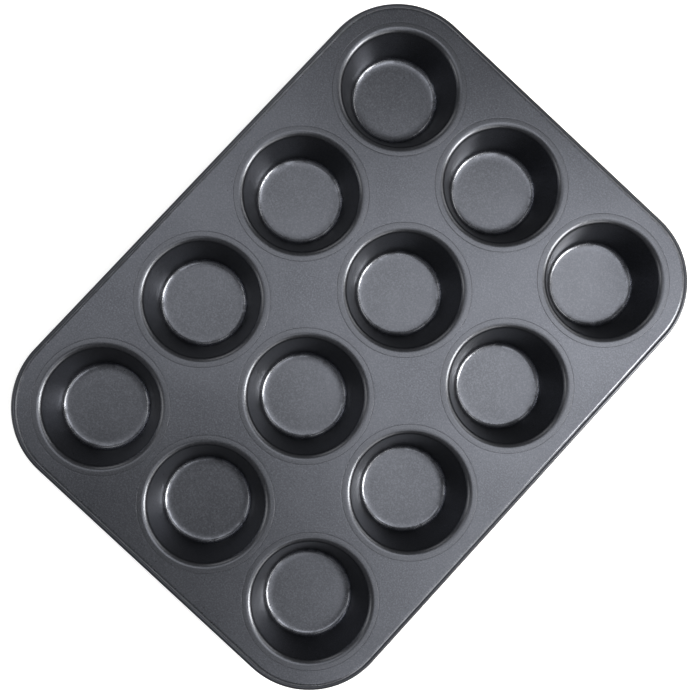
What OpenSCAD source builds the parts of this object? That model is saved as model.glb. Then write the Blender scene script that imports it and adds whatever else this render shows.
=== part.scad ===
// Twelve-cup muffin tin: a flat steel deck with a wired, rolled rim and twelve
// separately drawn cups. Each cup's flange lies in a shallow seat pressed round its
// hole, and a folded seam locks it from below.
//
// Units are millimetres. +Z is up. The origin is at the middle of the footprint,
// on the surface the tin stands on. X runs across the three columns of cups and
// Y along the four rows. Row 1 is at -Y, and the left column is at -X.

/* [Part to draw] */

// One piece on its own, or the whole tin

/* [Sheet] */

// Thickness of the steel sheet that the deck and the cups are pressed from
sheet = 0.5; // [0.4:0.05:0.6]

/* [Layout] */

// Spacing of the cups across the tin, column to column
column_pitch = 82.5; // [81:0.5:90]

// Spacing of the cups along the tin, row to row
row_pitch = 85; // [81:0.5:95]

// Distance from the centre of an outer cup to the outside of the rim
edge_margin = 51; // [48:0.5:60]

// Radius of the tin's corners, on the outside of the rim
corner_r = 49.5; // [40:0.5:60]

/* [Cups] */

// Radius of the cup's mouth, where the rounded lip turns level
mouth_r = 37.3; // [32:0.1:38.2]

// Height of the straight, tapered part of a cup's wall
wall_rise = 24.96; // [20.16:0.24:39.84]

// Distance that the wall leans inwards over that height
wall_run = 7.28; // [5.88:0.07:9.1]

// Radius of the rounded lip at the top of the wall
lip_bend_r = 3.7; // [3.5:0.1:5]

// Radius of the inside corner between the wall and the floor
floor_bend_r = 3.8; // [2:0.1:6]

// Width of the level flange outside each lip
flange_w = 2.45; // [1.5:0.05:2.75]

/* [Seat and seam] */

// Depth of the seat pressed into the deck for a cup's flange
seat_depth = 0.4; // [0.3:0.02:0.46]

// Gap between a flange's edge and the side of its seat
seat_gap = 0.05; // [0.02:0.01:0.1]

// Distance that the folded seam reaches out under the deck
seam_reach = 1.5; // [1:0.1:2]

// Gap between the start of a cup's flange and the edge of its hole in the deck
hole_gap = 0.05; // [0.02:0.01:0.1]

// Gap between the deck's underside and the folded seam
seam_gap = 0.05; // [0.02:0.01:0.1]

/* [Rim] */

// Outer radius of the bend that turns the deck's edge down
edge_bend_r = 2.1; // [0.9:0.1:2.5]

// Drop from the deck's top to the middle of the rolled bead
bead_drop = 3; // [2.8:0.1:5]

// Outer radius of the rolled bead
bead_r = 1.4; // [1.2:0.1:2]

// Angle at the bead's middle left open between the roll's edge and the skirt
bead_mouth = 60; // [40:5:80]

// Gap all round the wire inside the roll
wire_gap = 0.05; // [0.02:0.01:0.1]

/* [Colours] */

// Colour of the coated deck
deck_colour = "#3a3c40";

// Colour of the coated cups
cup_colour = "#34363a";

// Colour of the bare steel wire
wire_colour = "#8a8d90";

/* [Hidden] */

$fn = 96;

columns = 3;
rows = 4;
quarter_turn = 90;

// Sine and cosine of the wall's lean, which place the tangent points
wall_slant = sqrt(wall_rise * wall_rise + wall_run * wall_run);
lean_sin = wall_run / wall_slant;
lean_cos = wall_rise / wall_slant;

// Cup heights, from the floor up
floor_bend_z = sheet + floor_bend_r;
lip_bend_z = floor_bend_z + wall_rise - (floor_bend_r + lip_bend_r) * lean_sin;
flange_top = lip_bend_z + lip_bend_r;
seat_top = flange_top - sheet;
seat_under = seat_top - sheet;
deck_top = seat_top + seat_depth;
deck_under = deck_top - sheet;

// Cup radii, from the lip inwards and outwards
wall_top_r = mouth_r - lip_bend_r * lean_cos;
floor_bend_at = wall_top_r - wall_run - floor_bend_r * lean_cos;
flange_r = mouth_r + flange_w;
hole_r = mouth_r + hole_gap;
seat_r = flange_r + seat_gap;

// Folded seam: two sheets thick, with a rounded edge of one sheet's radius
seam_r = hole_r + seam_reach;
seam_top = seat_under - seam_gap;
seam_mid = seam_top - sheet;

// Rim, measured outwards from the centre of a corner's curve
bead_inner_r = bead_r - sheet;
bead_at = corner_r - bead_r;
bead_z = deck_top - bead_drop;
skirt_in = bead_at - bead_r;
skirt_out = skirt_in + sheet;
flat_edge = skirt_out - edge_bend_r;
edge_bend_z = deck_top - edge_bend_r;
wire_r = bead_inner_r - wire_gap;

// Distances between the centres of the corners' curves
span_x = (columns - 1) * column_pitch + 2 * (edge_margin - corner_r);
span_y = (rows - 1) * row_pitch + 2 * (edge_margin - corner_r);

// Reach of a wedge that cuts a ring, well outside every ring here
wedge_reach = 10;

// Radius of the middle of the lip's sheet at a height
function lip_middle_r(z) =
    mouth_r - sqrt(pow(lip_bend_r - sheet / 2, 2) - pow(z - lip_bend_z, 2));

// Where a cup stands: column 0 is the left one, row 0 is row 1
function cup_at(column, row) = [
    (column - (columns - 1) / 2) * column_pitch,
    (row - (rows - 1) / 2) * row_pitch,
    0
];

// A flat ring, as thick as the sheet, round the origin
module sheet_ring(outer_r) {
    difference() {
        circle(r = outer_r);
        circle(r = outer_r - sheet);
    }
}

// The part of a ring of sheet between two directions less than 180 degrees apart
module sheet_bend(outer_r, from, to) {
    intersection() {
        sheet_ring(outer_r);
        polygon([
            [0, 0],
            from * wedge_reach,
            (from + to) * wedge_reach,
            to * wedge_reach
        ]);
    }
}

// ---- Cup ----

module cup_floor() {
    square([floor_bend_at, sheet]);
}

module cup_floor_bend() {
    translate([floor_bend_at, floor_bend_z])
        sheet_bend(floor_bend_r + sheet, [0, -1], [lean_cos, -lean_sin]);
}

module cup_wall() {
    foot_r = floor_bend_at + floor_bend_r * lean_cos;
    foot_z = floor_bend_z - floor_bend_r * lean_sin;
    thick_r = sheet * lean_cos;
    thick_z = sheet * lean_sin;
    polygon([
        [foot_r, foot_z],
        [foot_r + thick_r, foot_z - thick_z],
        [foot_r + wall_run + thick_r, foot_z + wall_rise - thick_z],
        [foot_r + wall_run, foot_z + wall_rise]
    ]);
}

module cup_lip() {
    translate([mouth_r, lip_bend_z])
        sheet_bend(lip_bend_r, [0, 1], [-lean_cos, lean_sin]);
}

module cup_flange() {
    translate([mouth_r, flange_top - sheet])
        square([flange_w, sheet]);
}

// The fold starts in the middle of the lip's thickness and ends in a round edge
module cup_seam() {
    seam_low = seam_top - 2 * sheet;
    polygon([
        [lip_middle_r(seam_low), seam_low],
        [seam_r - sheet, seam_low],
        [seam_r - sheet, seam_top],
        [lip_middle_r(seam_top), seam_top]
    ]);
    translate([seam_r - sheet, seam_mid])
        intersection() {
            circle(r = sheet);
            translate([0, -sheet])
                square(2 * sheet);
        }
}

module cup_section() {
    cup_floor();
    cup_floor_bend();
    cup_wall();
    cup_lip();
    cup_flange();
    cup_seam();
}

module cup(column, row) {
    color(cup_colour)
        translate(cup_at(column, row))
            rotate_extrude()
                cup_section();
}

// ---- Deck ----

module edge_bend() {
    translate([flat_edge, edge_bend_z])
        sheet_bend(edge_bend_r, [1, 0], [0, 1]);
}

module skirt() {
    translate([skirt_in, bead_z])
        square([sheet, edge_bend_z - bead_z]);
}

// The roll starts at the foot of the skirt and goes under, out and back over
module rolled_bead() {
    mouth_cos = cos(180 - bead_mouth);
    mouth_sin = sin(180 - bead_mouth);
    translate([bead_at, bead_z])
        difference() {
            sheet_ring(bead_r);
            polygon([
                [0, 0],
                [mouth_cos, mouth_sin] * wedge_reach,
                [mouth_cos - 1, mouth_sin] * wedge_reach,
                [-1, 0] * wedge_reach
            ]);
        }
}

// From the corner's centre out to the bead
module deck_section() {
    translate([0, deck_under])
        square([flat_edge, sheet]);
    edge_bend();
    skirt();
    rolled_bead();
}

// Sweeps a section, drawn outwards from the corners' centres, round the tin
module round_the_tin() {
    for (side = [0:3]) {
        across = side % 2 == 0;
        length = across ? span_y : span_x;
        out = (across ? span_x : span_y) / 2;
        rotate(side * quarter_turn) {
            translate([out, length / 2, 0])
                rotate([quarter_turn, 0, 0])
                    linear_extrude(length)
                        children();
            translate([out, length / 2, 0])
                rotate_extrude(angle = quarter_turn)
                    children();
        }
    }
}

// Puts its children at every cup
module at_each_cup() {
    for (column = [0:columns - 1])
        for (row = [0:rows - 1])
            translate(cup_at(column, row))
                children();
}

// The sheet set down round a hole: it overlaps the deck's edge by one thickness
module seat() {
    translate([0, 0, seat_under])
        difference() {
            cylinder(h = sheet, r = seat_r + sheet);
            translate([0, 0, -sheet])
                cylinder(h = 3 * sheet, r = hole_r);
        }
}

module deck() {
    color(deck_colour) {
        difference() {
            union() {
                round_the_tin()
                    deck_section();
                translate([-span_x / 2, -span_y / 2, deck_under])
                    cube([span_x, span_y, sheet]);
            }
            at_each_cup()
                translate([0, 0, deck_under - sheet])
                    cylinder(h = 3 * sheet, r = seat_r);
        }
        at_each_cup()
            seat();
    }
}

// ---- Rim wire ----

module rim_wire() {
    color(wire_colour)
        round_the_tin()
            translate([bead_at, bead_z])
                circle(r = wire_r);
}

// ---- Named cups ----

module cup_row1_left() {
    cup(0, 0);
}

module cup_row1_middle() {
    cup(1, 0);
}

module cup_row1_right() {
    cup(2, 0);
}

module cup_row2_left() {
    cup(0, 1);
}

module cup_row2_middle() {
    cup(1, 1);
}

module cup_row2_right() {
    cup(2, 1);
}

module cup_row3_left() {
    cup(0, 2);
}

module cup_row3_middle() {
    cup(1, 2);
}

module cup_row3_right() {
    cup(2, 2);
}

module cup_row4_left() {
    cup(0, 3);
}

module cup_row4_middle() {
    cup(1, 3);
}

module cup_row4_right() {
    cup(2, 3);
}

deck();
rim_wire();
cup_row1_left();
cup_row1_middle();
cup_row1_right();
cup_row2_left();
cup_row2_middle();
cup_row2_right();
cup_row3_left();
cup_row3_middle();
cup_row3_right();
cup_row4_left();
cup_row4_middle();
cup_row4_right();
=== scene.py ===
"""Looks for the muffin tin: fine meshes for its deck and cups, coating, wire, floor, light and camera."""

import math

import bmesh
import bpy
from mathutils import Matrix, Vector
from mathutils.geometry import delaunay_2d_cdt


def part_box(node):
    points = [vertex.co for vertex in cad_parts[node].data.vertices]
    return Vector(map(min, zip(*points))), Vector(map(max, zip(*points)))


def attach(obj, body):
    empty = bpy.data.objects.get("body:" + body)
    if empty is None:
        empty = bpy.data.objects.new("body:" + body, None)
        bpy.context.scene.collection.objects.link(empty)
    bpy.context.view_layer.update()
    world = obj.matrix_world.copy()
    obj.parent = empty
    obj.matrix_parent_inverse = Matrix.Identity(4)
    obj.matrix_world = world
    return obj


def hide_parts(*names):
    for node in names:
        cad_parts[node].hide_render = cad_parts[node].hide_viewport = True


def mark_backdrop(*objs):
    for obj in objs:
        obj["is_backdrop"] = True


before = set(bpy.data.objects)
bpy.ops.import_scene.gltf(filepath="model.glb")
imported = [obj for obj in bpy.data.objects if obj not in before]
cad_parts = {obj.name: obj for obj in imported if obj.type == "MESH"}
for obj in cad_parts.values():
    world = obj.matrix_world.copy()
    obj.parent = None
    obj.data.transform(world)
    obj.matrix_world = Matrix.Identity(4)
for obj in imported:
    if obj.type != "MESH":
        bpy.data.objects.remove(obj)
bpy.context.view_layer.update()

MM = 0.001

# ---- The tin's own dimensions, in metres, that a box can't give ----
SHEET = 0.5 * MM
CORNER_R = 49.5 * MM
LIP_BEND_R = 3.7 * MM
FLOOR_BEND_R = 3.8 * MM
WALL_RISE = 24.96 * MM
WALL_RUN = 7.28 * MM
LEAN = math.atan2(WALL_RUN, WALL_RISE)  # of a cup's wall, outwards from upright
MOUTH_R = 37.3 * MM
HOLE_R = 37.35 * MM
SEAT_R = 39.8 * MM
SEAT_DEPTH = 0.4 * MM
EDGE_R = 0.12 * MM  # rounding on the flange's edge and on its seat's edge
DISH_R = 18 * MM  # the faint turn-up of a cup's floor before its bend
DISH_SLOPE = math.radians(7)
SEAM_REACH = 1.5 * MM
SEAM_GAP = 0.05 * MM
FLAT_BAND = 0.4 * MM  # level band that keeps a bend's shading off the flat sheet
EDGE_BEND_R = 2.1 * MM
BEAD_DROP = 3.0 * MM
BEAD_R = 1.4 * MM
BEAD_MOUTH = math.radians(60)

# ---- Painted highlight and painted shade, as layers on the meshes' points: none at 0, full at 1 ----
PAINTED_HIGHLIGHT = "painted_highlight"  # the names of the two layers on a mesh's points
PAINTED_SHADE = "painted_shade"
# faint painted highlight on the flange
FLANGE_HIGHLIGHT = 0.05
# painted highlight along the deck's edge bend
RIM_HIGHLIGHT = 0.5
# painted shade on the deck's skirt and rolled bead
BEAD_SHADE = 1.0
# faint painted highlight along the lip, down to a depth
LIP_HIGHLIGHT = 0.05
LIP_HIGHLIGHT_DEPTH = 2.0 * MM
# painted shade that dims the cup's lip and, less, its flange
LIP_SHADE = 0.35
FLANGE_SHADE = 0.2
BEND_HIGHLIGHT = 3.0  # painted highlight round a cup's floor; above 1, so that most of its patches come out at full strength
BEND_HIGHLIGHT_HEIGHTS = (0.6 * MM, 0.9 * MM, 1.8 * MM, 3.2 * MM)  # where it starts, is full, fades and ends

# ---- How finely the meshes are cut ----
CUP_SEGMENTS = 160
HOLE_SEGMENTS = 128
CORNER_SEGMENTS = 32
SIDE_SEGMENTS = 24
ARC_STEP = math.radians(6)
FLOOR_STEPS = 12
WALL_STEPS = 16
SHARP_ANGLE = math.radians(40)
FILL_TOLERANCE = 1e-7  # points of the flat sheet closer than this are one point
IN_HOLE = 0.999  # a triangle whose middle is nearer a hole's centre than this share of its radius is in it

# ---- Profiles: outlines that are turned or swept, as (distance out, height) ----
UP = math.pi / 2
DOWN = -math.pi / 2


def arc(centre, radius, start, end):
    """Points along an arc from one angle to another, in radians, both ends included."""
    steps = max(2, math.ceil(abs(end - start) / ARC_STEP))
    return [
        (
            centre[0] + radius * math.cos(start + (end - start) * i / steps),
            centre[1] + radius * math.sin(start + (end - start) * i / steps),
        )
        for i in range(steps + 1)
    ]


def line(start, end, steps):
    """Points between two ends, both left out."""
    return [
        (
            start[0] + (end[0] - start[0]) * i / steps,
            start[1] + (end[1] - start[1]) * i / steps,
        )
        for i in range(1, steps)
    ]


def cup_inside(lip, bend):
    """The upper face of a cup's sheet, from the floor's middle to the top of the lip."""
    lift = (DISH_R - FLOOR_BEND_R) * (1 - math.cos(DISH_SLOPE))
    dished = (bend[0] + lift * math.tan(LEAN), bend[1] + lift)
    level = dished[0] - (DISH_R - FLOOR_BEND_R) * math.sin(DISH_SLOPE)
    points = [(0.0, SHEET)]
    points += line((0.0, SHEET), (level, SHEET), FLOOR_STEPS)
    points += arc((level, SHEET + DISH_R), DISH_R, DOWN, DOWN + DISH_SLOPE)[:-1]
    points += arc(dished, FLOOR_BEND_R, DOWN + DISH_SLOPE, -LEAN)
    lip_arc = arc(lip, LIP_BEND_R, math.pi - LEAN, UP)
    points += line(points[-1], lip_arc[0], WALL_STEPS)
    return points + lip_arc


def cup_outside(lip, bend, flange_top):
    """The lower face of a cup's sheet, from the flange, round the folded seam, to the base's middle."""
    seam_top = flange_top - 2 * SHEET - SEAM_GAP
    seam_r = HOLE_R + SEAM_REACH
    under_lip = LIP_BEND_R - SHEET
    top_turn = math.asin((seam_top - lip[1]) / under_lip)
    low_turn = math.asin((seam_top - 2 * SHEET - lip[1]) / under_lip)
    points = arc(lip, under_lip, UP, math.pi - top_turn)
    points += arc((seam_r - SHEET, seam_top - SHEET), SHEET, UP, DOWN)
    points += arc(lip, under_lip, math.pi - low_turn, math.pi - LEAN)
    foot = arc(bend, FLOOR_BEND_R + SHEET, -LEAN, DOWN)
    points += line(points[-1], foot[0], WALL_STEPS)
    points += foot
    points += line(foot[-1], (0.0, 0.0), FLOOR_STEPS)
    return points + [(0.0, 0.0)]


def cup_profile(flange_top, flange_r):
    """The closed outline of a cup's sheet, from the floor's middle up the inside and down the outside."""
    lip = (MOUTH_R, flange_top - LIP_BEND_R)
    bend = (
        MOUTH_R - (LIP_BEND_R + FLOOR_BEND_R) * math.cos(LEAN) - WALL_RUN,
        SHEET + FLOOR_BEND_R,
    )
    flange = [(MOUTH_R + FLAT_BAND, flange_top)]
    flange += arc((flange_r - EDGE_R, flange_top - EDGE_R), EDGE_R, UP, 0)
    flange += [(flange_r, flange_top - SHEET)]
    return cup_inside(lip, bend) + flange + cup_outside(lip, bend, flange_top)


def deck_profile(deck_top, reach):
    """The outline of the deck's edge, out from a corner's centre, from the sheet's top to its underside."""
    bead = (reach - BEAD_R, deck_top - BEAD_DROP)
    skirt_in = bead[0] - BEAD_R
    flat = skirt_in + SHEET - EDGE_BEND_R
    bend = (flat, deck_top - EDGE_BEND_R)
    end = 3 * math.pi - BEAD_MOUTH
    over = arc(bend, EDGE_BEND_R, UP, 0)
    inside_roll = arc(bead, BEAD_R - SHEET, math.pi, end)
    outside_roll = arc(bead, BEAD_R, end, math.pi)
    under = arc(bend, EDGE_BEND_R - SHEET, 0, UP)
    return over + inside_roll + outside_roll + under


def seat_profile(deck_top):
    """The outline of the seat round a hole, from the deck's top to its underside."""
    seat_top = deck_top - SEAT_DEPTH
    under_r = SEAT_R + SHEET
    edge = (SEAT_R + EDGE_R, deck_top - EDGE_R)
    step = arc(edge, EDGE_R, UP, math.pi)
    seat = [(SEAT_R, seat_top), (HOLE_R, seat_top), (HOLE_R, seat_top - SHEET)]
    back = [(under_r, seat_top - SHEET), (under_r, deck_top - SHEET)]
    return step + seat + back


# ---- Meshes ----
def make_object(name, bm):
    """A smooth-shaded object in the scene, made from a bmesh, which is freed."""
    bmesh.ops.recalc_face_normals(bm, faces=bm.faces)
    mesh = bpy.data.meshes.new(name)
    bm.to_mesh(mesh)
    bm.free()
    mesh.shade_smooth()
    mesh.set_sharp_from_angle(angle=SHARP_ANGLE)
    piece = bpy.data.objects.new(name, mesh)
    bpy.context.scene.collection.objects.link(piece)
    return piece


def cup_painted_highlight(r, z, flange_top):
    """How much painted highlight a point of a cup gets: most on the bend round its floor, a little on its
    lip and flange.
    """
    if r > HOLE_R:
        return FLANGE_HIGHLIGHT
    start, full, fade, end = BEND_HIGHLIGHT_HEIGHTS
    on_bend = min(1.0, (z - start) / (full - start), (end - z) / (end - fade))
    on_lip = 1 - (flange_top - z) / LIP_HIGHLIGHT_DEPTH
    return max(0.0, LIP_HIGHLIGHT * on_lip, BEND_HIGHLIGHT * on_bend)


def cup_painted_shade(r, z, flange_top):
    """How much painted shade darkens a point of a cup: most on the lip, a little on the flange."""
    if r > HOLE_R:
        return FLANGE_SHADE
    return LIP_SHADE * max(0.0, 1 - ((flange_top - z) / LIP_BEND_R) ** 2)


def circle_loop(centre, radius, segments):
    """Points round a circle, anticlockwise."""
    return [
        (
            centre[0] + radius * math.cos(2 * math.pi * i / segments),
            centre[1] + radius * math.sin(2 * math.pi * i / segments),
        )
        for i in range(segments)
    ]


def new_ring(bm, points, z):
    """New points of a mesh at one height."""
    return [bm.verts.new((x, y, z)) for x, y in points]


def join_rings(bm, rings):
    """Skins each ring to the next with quads."""
    for a, b in zip(rings, rings[1:]):
        for i in range(len(a)):
            n = (i + 1) % len(a)
            bm.faces.new((a[i], b[i], b[n], a[n]))


def lathe(name, profile, centre, segments):
    """Turns a cup's profile, which starts and ends on the axis, into a closed mesh round centre."""
    bm = bmesh.new()
    painted_highlight = bm.verts.layers.float.new(PAINTED_HIGHLIGHT)
    painted_shade = bm.verts.layers.float.new(PAINTED_SHADE)
    crest = max(z for _, z in profile)
    top = bm.verts.new((*centre, profile[0][1]))
    bottom = bm.verts.new((*centre, profile[-1][1]))
    rings = []
    for r, z in profile[1:-1]:
        rings.append(new_ring(bm, circle_loop(centre, r, segments), z))
        for vert in rings[-1]:
            # each ring's painted highlight, then its painted shade
            vert[painted_highlight] = cup_painted_highlight(r, z, crest)
            vert[painted_shade] = cup_painted_shade(r, z, crest)
    for s in range(segments):
        n = (s + 1) % segments
        bm.faces.new((top, rings[0][s], rings[0][n]))
        bm.faces.new((bottom, rings[-1][n], rings[-1][s]))
    join_rings(bm, rings)
    return make_object(name, bm)


def rounded_loop(half_x, half_y, radius, offset):
    """Points round a rounded rectangle, offset from its corners' centres, anticlockwise."""
    points = []
    corners = [(1, 1, 0), (-1, 1, 1), (-1, -1, 2), (1, -1, 3)]
    for sx, sy, quarter in corners:
        cx, cy = sx * (half_x - radius), sy * (half_y - radius)
        for i in range(CORNER_SEGMENTS + 1):
            a = math.pi / 2 * (quarter + i / CORNER_SEGMENTS)
            points.append((cx + offset * math.cos(a), cy + offset * math.sin(a)))
        nx, ny, _ = corners[(quarter + 1) % 4]
        a = math.pi / 2 * (quarter + 1)
        start = points[-1]
        end = (
            nx * (half_x - radius) + offset * math.cos(a),
            ny * (half_y - radius) + offset * math.sin(a),
        )
        points += line(start, end, SIDE_SEGMENTS)
    return points


def fill_with_holes(outline, holes, centres, hole_r):
    """Fills an outline round its holes: (points, triangles, index loops with the outline's first)."""
    points = [Vector(p) for p in outline]
    loops = [list(range(len(outline)))]
    for hole in holes:
        loops.append(list(range(len(points), len(points) + len(hole))))
        points += [Vector(p) for p in hole]
    edges = [(a, b) for loop in loops for a, b in zip(loop, loop[1:] + loop[:1])]
    made, _, faces, origins, _, _ = delaunay_2d_cdt(points, edges, [], 0, FILL_TOLERANCE)
    place = {}
    for new, sources in enumerate(origins):
        for s in sources:
            place[s] = new
    inner = [Vector(c) for c in centres]
    kept = []
    for f in faces:
        mid = sum((made[i] for i in f), Vector((0, 0))) / len(f)
        if all((mid - c).length > hole_r * IN_HOLE for c in inner):
            kept.append(f)
    return made, kept, [[place[i] for i in loop] for loop in loops]


def deck_edge(bm, half, deck_top, top_loop, low_loop):
    """The bend, skirt and bead, from the loop round the sheet's top to the one round its underside."""
    painted_highlight = bm.verts.layers.float[PAINTED_HIGHLIGHT]
    painted_shade = bm.verts.layers.float[PAINTED_SHADE]
    skirt_out = CORNER_R - 2 * BEAD_R + SHEET
    rings = [top_loop]
    for reach, z in deck_profile(deck_top, CORNER_R):
        rings.append(new_ring(bm, rounded_loop(*half, CORNER_R, reach), z))
        on_bend = reach <= skirt_out and z > deck_top - EDGE_BEND_R
        # painted highlight on the edge bend, painted shade on the skirt and bead
        for vert in rings[-1]:
            vert[painted_highlight] = RIM_HIGHLIGHT if on_bend else 0.0
            vert[painted_shade] = 0.0 if on_bend else BEAD_SHADE
    join_rings(bm, rings + [low_loop])


def deck_seat(bm, centre, deck_top, top_loop, low_loop):
    """The seat round a hole, from the loop round it in the sheet's top to the one in its underside."""
    rings = [top_loop]
    for r, z in seat_profile(deck_top):
        rings.append(new_ring(bm, circle_loop(centre, r, HOLE_SEGMENTS), z))
    join_rings(bm, rings + [low_loop])


def build_deck(centres):
    """The deck's pressing: a flat sheet, its bent and rolled edge, and a seat round each cup's hole."""
    low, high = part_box("deck")
    half = ((high.x - low.x) / 2, (high.y - low.y) / 2)
    deck_top = high.z
    bend_start = deck_profile(deck_top, CORNER_R)[0][0]
    outline = rounded_loop(*half, CORNER_R, bend_start - FLAT_BAND)
    ring_r = SEAT_R + SHEET + FLAT_BAND
    rims = [circle_loop(c, ring_r, HOLE_SEGMENTS) for c in centres]
    flat, triangles, loops = fill_with_holes(outline, rims, centres, ring_r)
    bm = bmesh.new()
    bm.verts.layers.float.new(PAINTED_HIGHLIGHT)
    bm.verts.layers.float.new(PAINTED_SHADE)
    tops = new_ring(bm, flat, deck_top)
    lows = new_ring(bm, flat, deck_top - SHEET)
    for t in triangles:
        bm.faces.new([tops[i] for i in t])
        bm.faces.new([lows[i] for i in reversed(t)])
    pairs = [([tops[i] for i in loop], [lows[i] for i in loop]) for loop in loops]
    deck_edge(bm, half, deck_top, *pairs[0])
    for centre, pair in zip(centres, pairs[1:]):
        deck_seat(bm, centre, deck_top, *pair)
    return make_object("deck_pressing", bm)


def build_cup(node):
    """A cup's pressing and its centre, placed from its node's box."""
    low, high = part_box(node)
    centre = ((low.x + high.x) / 2, (low.y + high.y) / 2)
    profile = cup_profile(high.z, (high.x - low.x) / 2)
    return lathe(node + "_pressing", profile, centre, CUP_SEGMENTS), centre


# ---- Materials: noise is (cycles per metre, detail, roughness), a colour pair is (dark, light) ----
DECK_COLOURS = ((0.084, 0.088, 0.101), (0.106, 0.111, 0.127))
CUP_COLOURS = ((0.088, 0.092, 0.104), (0.111, 0.116, 0.132))
COAT_METALLIC = 0.965
COAT_ROUGHNESS = (0.27, 0.33)  # from the darkest speck to the brightest
CLOUDS = (22, 3, 0.5)
SPECKS = (1100, 2, 0.7)
HIGHLIGHT_PATCHES = (160, 4, 0.5)
DIMPLES = (900, 2, 0.5)
CLOUD_BAND = (0.3, 0.7)  # the stretch of each noise that is spread from none to full
FLECK_BAND = (0.45, 0.75)
GRAIN_BAND = (0.25, 0.75)
PATCH_BAND = (0.42, 0.62)
FLECK_SHARE = 0.6  # of a speck's brighter colour where it is strongest
FLECK_GAIN = 1.7
HIGHLIGHT_SHARE = 0.6  # of the painted highlight's colour where it is strongest
HIGHLIGHT_ROUGHNESS = 0.85  # share of the roughness left there
HIGHLIGHT_GAIN = 2.1
SHADE_SHARES = (0.85, 1.0)  # of the painted shade, from the darkest cloud to the lightest
# share of the darker colour that the painted shade leaves
SHADE_GAIN = 0.65
COAT_BUMP = (0.15, 0.05 * MM)  # strength, height

WIRE_COLOURS = ((0.30, 0.30, 0.31), (0.55, 0.55, 0.56))
WIRE_ROUGHNESS = (0.3, 0.5)
STREAKS = (600, 3, 0.5)
TARNISH = (90, 4, 0.5)
TARNISH_BAND = (0.55, 0.75)
TARNISH_SHARE = 0.7
TARNISH_COLOUR = (0.16, 0.12, 0.09)
WIRE_BUMP = (0.2, 0.02 * MM)

FLOOR_COLOUR = (0.93, 0.93, 0.93, 1.0)
FLOOR_ROUGHNESS = 0.9
FLOOR_SPECULAR = 0.1
FLOOR_GLOW = 0.62
OPAQUE_WHITE = (1.0, 1.0, 1.0, 1.0)

MIX_DARK, MIX_LIGHT, MIX_RESULT = 6, 7, 2  # the Mix node's sockets for colours


def node_material(name):
    """A new material, its node tree and its shader."""
    material = bpy.data.materials.new(name)
    material.use_nodes = True
    tree = material.node_tree
    return material, tree, tree.nodes["Principled BSDF"]


def noise(tree, coords, scale, detail, roughness):
    """A noise texture's value, from 0 to 1."""
    n = tree.nodes.new("ShaderNodeTexNoise")
    n.inputs["Scale"].default_value = scale
    n.inputs["Detail"].default_value = detail
    n.inputs["Roughness"].default_value = roughness
    tree.links.new(coords, n.inputs["Vector"])
    return n.outputs["Fac"]


def to_range(tree, value, low, high, from_low=0.0, from_high=1.0):
    """A value spread from one range to another and kept inside it."""
    n = tree.nodes.new("ShaderNodeMapRange")
    n.inputs["From Min"].default_value = from_low
    n.inputs["From Max"].default_value = from_high
    n.inputs["To Min"].default_value = low
    n.inputs["To Max"].default_value = high
    tree.links.new(value, n.inputs["Value"])
    return n.outputs["Result"]


def mix_colour(tree, factor, dark, light):
    """A mix of two colours, each a colour or a socket, from dark at 0 to light at 1."""
    n = tree.nodes.new("ShaderNodeMix")
    n.data_type = "RGBA"
    tree.links.new(factor, n.inputs["Factor"])
    for socket, colour in ((n.inputs[MIX_DARK], dark), (n.inputs[MIX_LIGHT], light)):
        if isinstance(colour, bpy.types.NodeSocket):
            tree.links.new(colour, socket)
        else:
            socket.default_value = (*colour, 1.0)
    return n.outputs[MIX_RESULT]


def bump(tree, shader, height, strength, distance):
    """Raises a shader's surface by a value, by up to distance."""
    n = tree.nodes.new("ShaderNodeBump")
    n.inputs["Strength"].default_value = strength
    n.inputs["Distance"].default_value = distance
    tree.links.new(height, n.inputs["Height"])
    tree.links.new(n.outputs["Normal"], shader.inputs["Normal"])


def multiply(tree, first, second):
    """The product of two values."""
    n = tree.nodes.new("ShaderNodeMath")
    n.operation = "MULTIPLY"
    tree.links.new(first, n.inputs[0])
    tree.links.new(second, n.inputs[1])
    return n.outputs["Value"]


def point_layer(tree, name):
    """The value of one of the mesh's own layers."""
    n = tree.nodes.new("ShaderNodeAttribute")
    n.attribute_name = name
    return n.outputs["Fac"]


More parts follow.
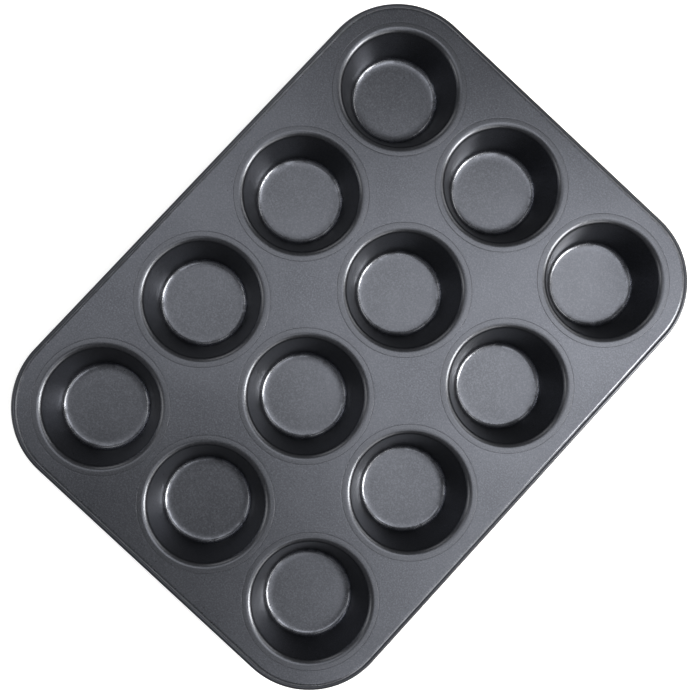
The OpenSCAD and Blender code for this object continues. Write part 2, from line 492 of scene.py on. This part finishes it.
def coating(name, dark, light):
    """Dark non-stick coating: metallic specks over faint clouds, with painted highlights in patches and
    painted shade.
    """
    material, tree, shader = node_material(name)
    coords = tree.nodes.new("ShaderNodeTexCoord").outputs["Object"]
    cloud = to_range(tree, noise(tree, coords, *CLOUDS), 0.0, 1.0, *CLOUD_BAND)
    specks = noise(tree, coords, *SPECKS)
    flecks = to_range(tree, specks, 0.0, FLECK_SHARE, *FLECK_BAND)
    brighter = tuple(FLECK_GAIN * c for c in light)
    speckled = mix_colour(tree, flecks, mix_colour(tree, cloud, dark, light), brighter)
    # painted highlight: patches of the coat made lighter and a little smoother
    patches = to_range(tree, noise(tree, coords, *HIGHLIGHT_PATCHES), 0.0, 1.0, *PATCH_BAND)
    highlighted = multiply(tree, point_layer(tree, PAINTED_HIGHLIGHT), patches)
    highlight_colour = tuple(HIGHLIGHT_GAIN * c for c in light)
    with_highlight = mix_colour(tree, to_range(tree, highlighted, 0.0, HIGHLIGHT_SHARE), speckled, highlight_colour)
    # painted shade: the coat darkened by the shade layer, a little unevenly under the clouds
    shade_cloud = to_range(tree, cloud, *SHADE_SHARES)
    shaded = multiply(tree, point_layer(tree, PAINTED_SHADE), shade_cloud)
    shade_colour = tuple(SHADE_GAIN * c for c in dark)
    tree.links.new(mix_colour(tree, shaded, with_highlight, shade_colour), shader.inputs["Base Color"])
    grain = to_range(tree, specks, *COAT_ROUGHNESS, *GRAIN_BAND)
    smoother = to_range(tree, highlighted, 1.0, HIGHLIGHT_ROUGHNESS)
    tree.links.new(multiply(tree, grain, smoother), shader.inputs["Roughness"])
    shader.inputs["Metallic"].default_value = COAT_METALLIC
    bump(tree, shader, noise(tree, coords, *DIMPLES), *COAT_BUMP)
    return material


def bare_wire(name):
    """Drawn steel wire with streaks and a few dull spots of tarnish."""
    material, tree, shader = node_material(name)
    coords = tree.nodes.new("ShaderNodeTexCoord").outputs["Object"]
    streaks = noise(tree, coords, *STREAKS)
    steel = mix_colour(tree, streaks, *WIRE_COLOURS)
    spots = to_range(tree, noise(tree, coords, *TARNISH), 0.0, TARNISH_SHARE, *TARNISH_BAND)
    tree.links.new(mix_colour(tree, spots, steel, TARNISH_COLOUR), shader.inputs["Base Color"])
    tree.links.new(to_range(tree, streaks, *WIRE_ROUGHNESS), shader.inputs["Roughness"])
    shader.inputs["Metallic"].default_value = 1.0
    bump(tree, shader, streaks, *WIRE_BUMP)
    return material


def pale_floor(name):
    """Plain pale paper with an even glow."""
    material, _, shader = node_material(name)
    shader.inputs["Base Color"].default_value = FLOOR_COLOUR
    shader.inputs["Roughness"].default_value = FLOOR_ROUGHNESS
    shader.inputs["Specular IOR Level"].default_value = FLOOR_SPECULAR
    shader.inputs["Emission Color"].default_value = OPAQUE_WHITE
    shader.inputs["Emission Strength"].default_value = FLOOR_GLOW
    return material


def dress(piece, material):
    """Gives a piece one material."""
    piece.data.materials.clear()
    piece.data.materials.append(material)


# ---- Stage ----
FLOOR_HALF = 4.0
ROOM_LIGHT = 0.19
LIGHT_DISTANCE = 1.1
LOW_LIGHT = 45  # degrees above the floor: the softboxes under this are a little warmer
WARM_WHITE = (1.0, 0.975, 0.91)
WHITE = (1.0, 1.0, 1.0)
SOFTBOXES = [  # name, degrees above the floor, heading in degrees, size in metres, watts
    ("low_right", 35, 25, 0.50, 11.0),
    ("low_right_rear", 20, 350, 0.60, 2.2),
    ("low_right_middle", 20, 30, 0.60, 1.6),
    ("low_right_front", 25, 70, 0.60, 1.7),
    ("key", 60, 50, 0.50, 1.0),
    ("key_front", 60, 340, 0.60, 1.2),
    ("overhead_right", 75, 50, 0.60, 1.6),
    ("overhead_left", 75, 170, 0.60, 0.9),
    ("left", 60, 205, 0.60, 0.5),
    ("low_left", 25, 160, 0.60, 1.0),
    ("low_left_front", 25, 225, 0.60, 1.5),
]


def build_floor():
    """A wide flat square that the tin stands on."""
    bm = bmesh.new()
    corners = [(-1, -1), (1, -1), (1, 1), (-1, 1)]
    bm.faces.new([bm.verts.new((x * FLOOR_HALF, y * FLOOR_HALF, 0)) for x, y in corners])
    floor = make_object("floor", bm)
    dress(floor, pale_floor("floor_paper"))
    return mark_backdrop(floor)


def area_light(name, place, size, power, tint):
    """A round softbox that faces the tin."""
    data = bpy.data.lights.new(name, "AREA")
    data.shape = "DISK"
    data.size = size
    data.energy = power
    data.color = tint
    lamp = bpy.data.objects.new(name, data)
    lamp.location = place
    lamp.rotation_euler = (-place).to_track_quat("-Z", "Y").to_euler()
    bpy.context.scene.collection.objects.link(lamp)


def sky_point(height, heading):
    """A light's place, given its angle above the floor and its heading round the tin, both in degrees."""
    up, turn = math.radians(height), math.radians(heading)
    flat = math.cos(up)
    return LIGHT_DISTANCE * Vector((flat * math.cos(turn), flat * math.sin(turn), math.sin(up)))


def light_scene():
    """A weak even room light and the softboxes."""
    world = bpy.data.worlds.new("studio")
    bpy.context.scene.world = world
    world.use_nodes = True
    backdrop = world.node_tree.nodes["Background"]
    backdrop.inputs["Color"].default_value = OPAQUE_WHITE
    backdrop.inputs["Strength"].default_value = ROOM_LIGHT
    for name, height, heading, size, power in SOFTBOXES:
        tint = WARM_WHITE if height < LOW_LIGHT else WHITE
        area_light(name + "_softbox", sky_point(height, heading), size, power, tint)


# Camera: nearly overhead, with the tin turned in the frame
CAMERA_PLACE = Vector((-29.8, -58.6, 687.8)) * MM  # this and the aim start at the middle of the deck's top
CAMERA_AIM = Vector((-18.0, -15.4, 0.0)) * MM
CAMERA_UP_HEADING = math.radians(132.9)  # which way over the deck is up in the frame
CAMERA_LENS = 60.87  # focal length and sensor width in millimetres
CAMERA_SENSOR = 36
CAMERA_SHIFT = (0.05, -0.0129)
CAMERA_CLIP = (0.01, 20)  # nearest and furthest that it sees, in metres


def build_camera(deck_top):
    """The scene's camera, nearly overhead and aimed at the deck's top."""
    data = bpy.data.cameras.new("camera")
    data.lens = CAMERA_LENS
    data.sensor_width = CAMERA_SENSOR
    data.shift_x, data.shift_y = CAMERA_SHIFT
    data.clip_start, data.clip_end = CAMERA_CLIP
    camera = bpy.data.objects.new("camera", data)
    lift = Vector((0, 0, deck_top))
    back = (CAMERA_PLACE - CAMERA_AIM).normalized()
    hint = Vector((math.cos(CAMERA_UP_HEADING), math.sin(CAMERA_UP_HEADING), 0))
    right = hint.cross(back).normalized()
    up = back.cross(right)
    turn = Matrix((right, up, back)).transposed().to_4x4()
    camera.matrix_world = Matrix.Translation(CAMERA_PLACE + lift) @ turn
    bpy.context.scene.collection.objects.link(camera)
    bpy.context.scene.camera = camera


# ---- Build ----
deck_coat = coating("coating_deck", *DECK_COLOURS)
cup_coat = coating("coating_cup", *CUP_COLOURS)

centres = []
for cup_node in sorted(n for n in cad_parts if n.startswith("cup_")):
    cup_piece, cup_centre = build_cup(cup_node)
    centres.append(cup_centre)
    dress(cup_piece, cup_coat)
    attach(cup_piece, "root")
    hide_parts(cup_node)

deck_piece = build_deck(centres)
dress(deck_piece, deck_coat)
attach(deck_piece, "root")
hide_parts("deck")

dress(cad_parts["rim_wire"], bare_wire("wire_steel"))

build_floor()
light_scene()
build_camera(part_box("deck")[1].z)
bpy.context.scene.view_settings.view_transform = "Standard"
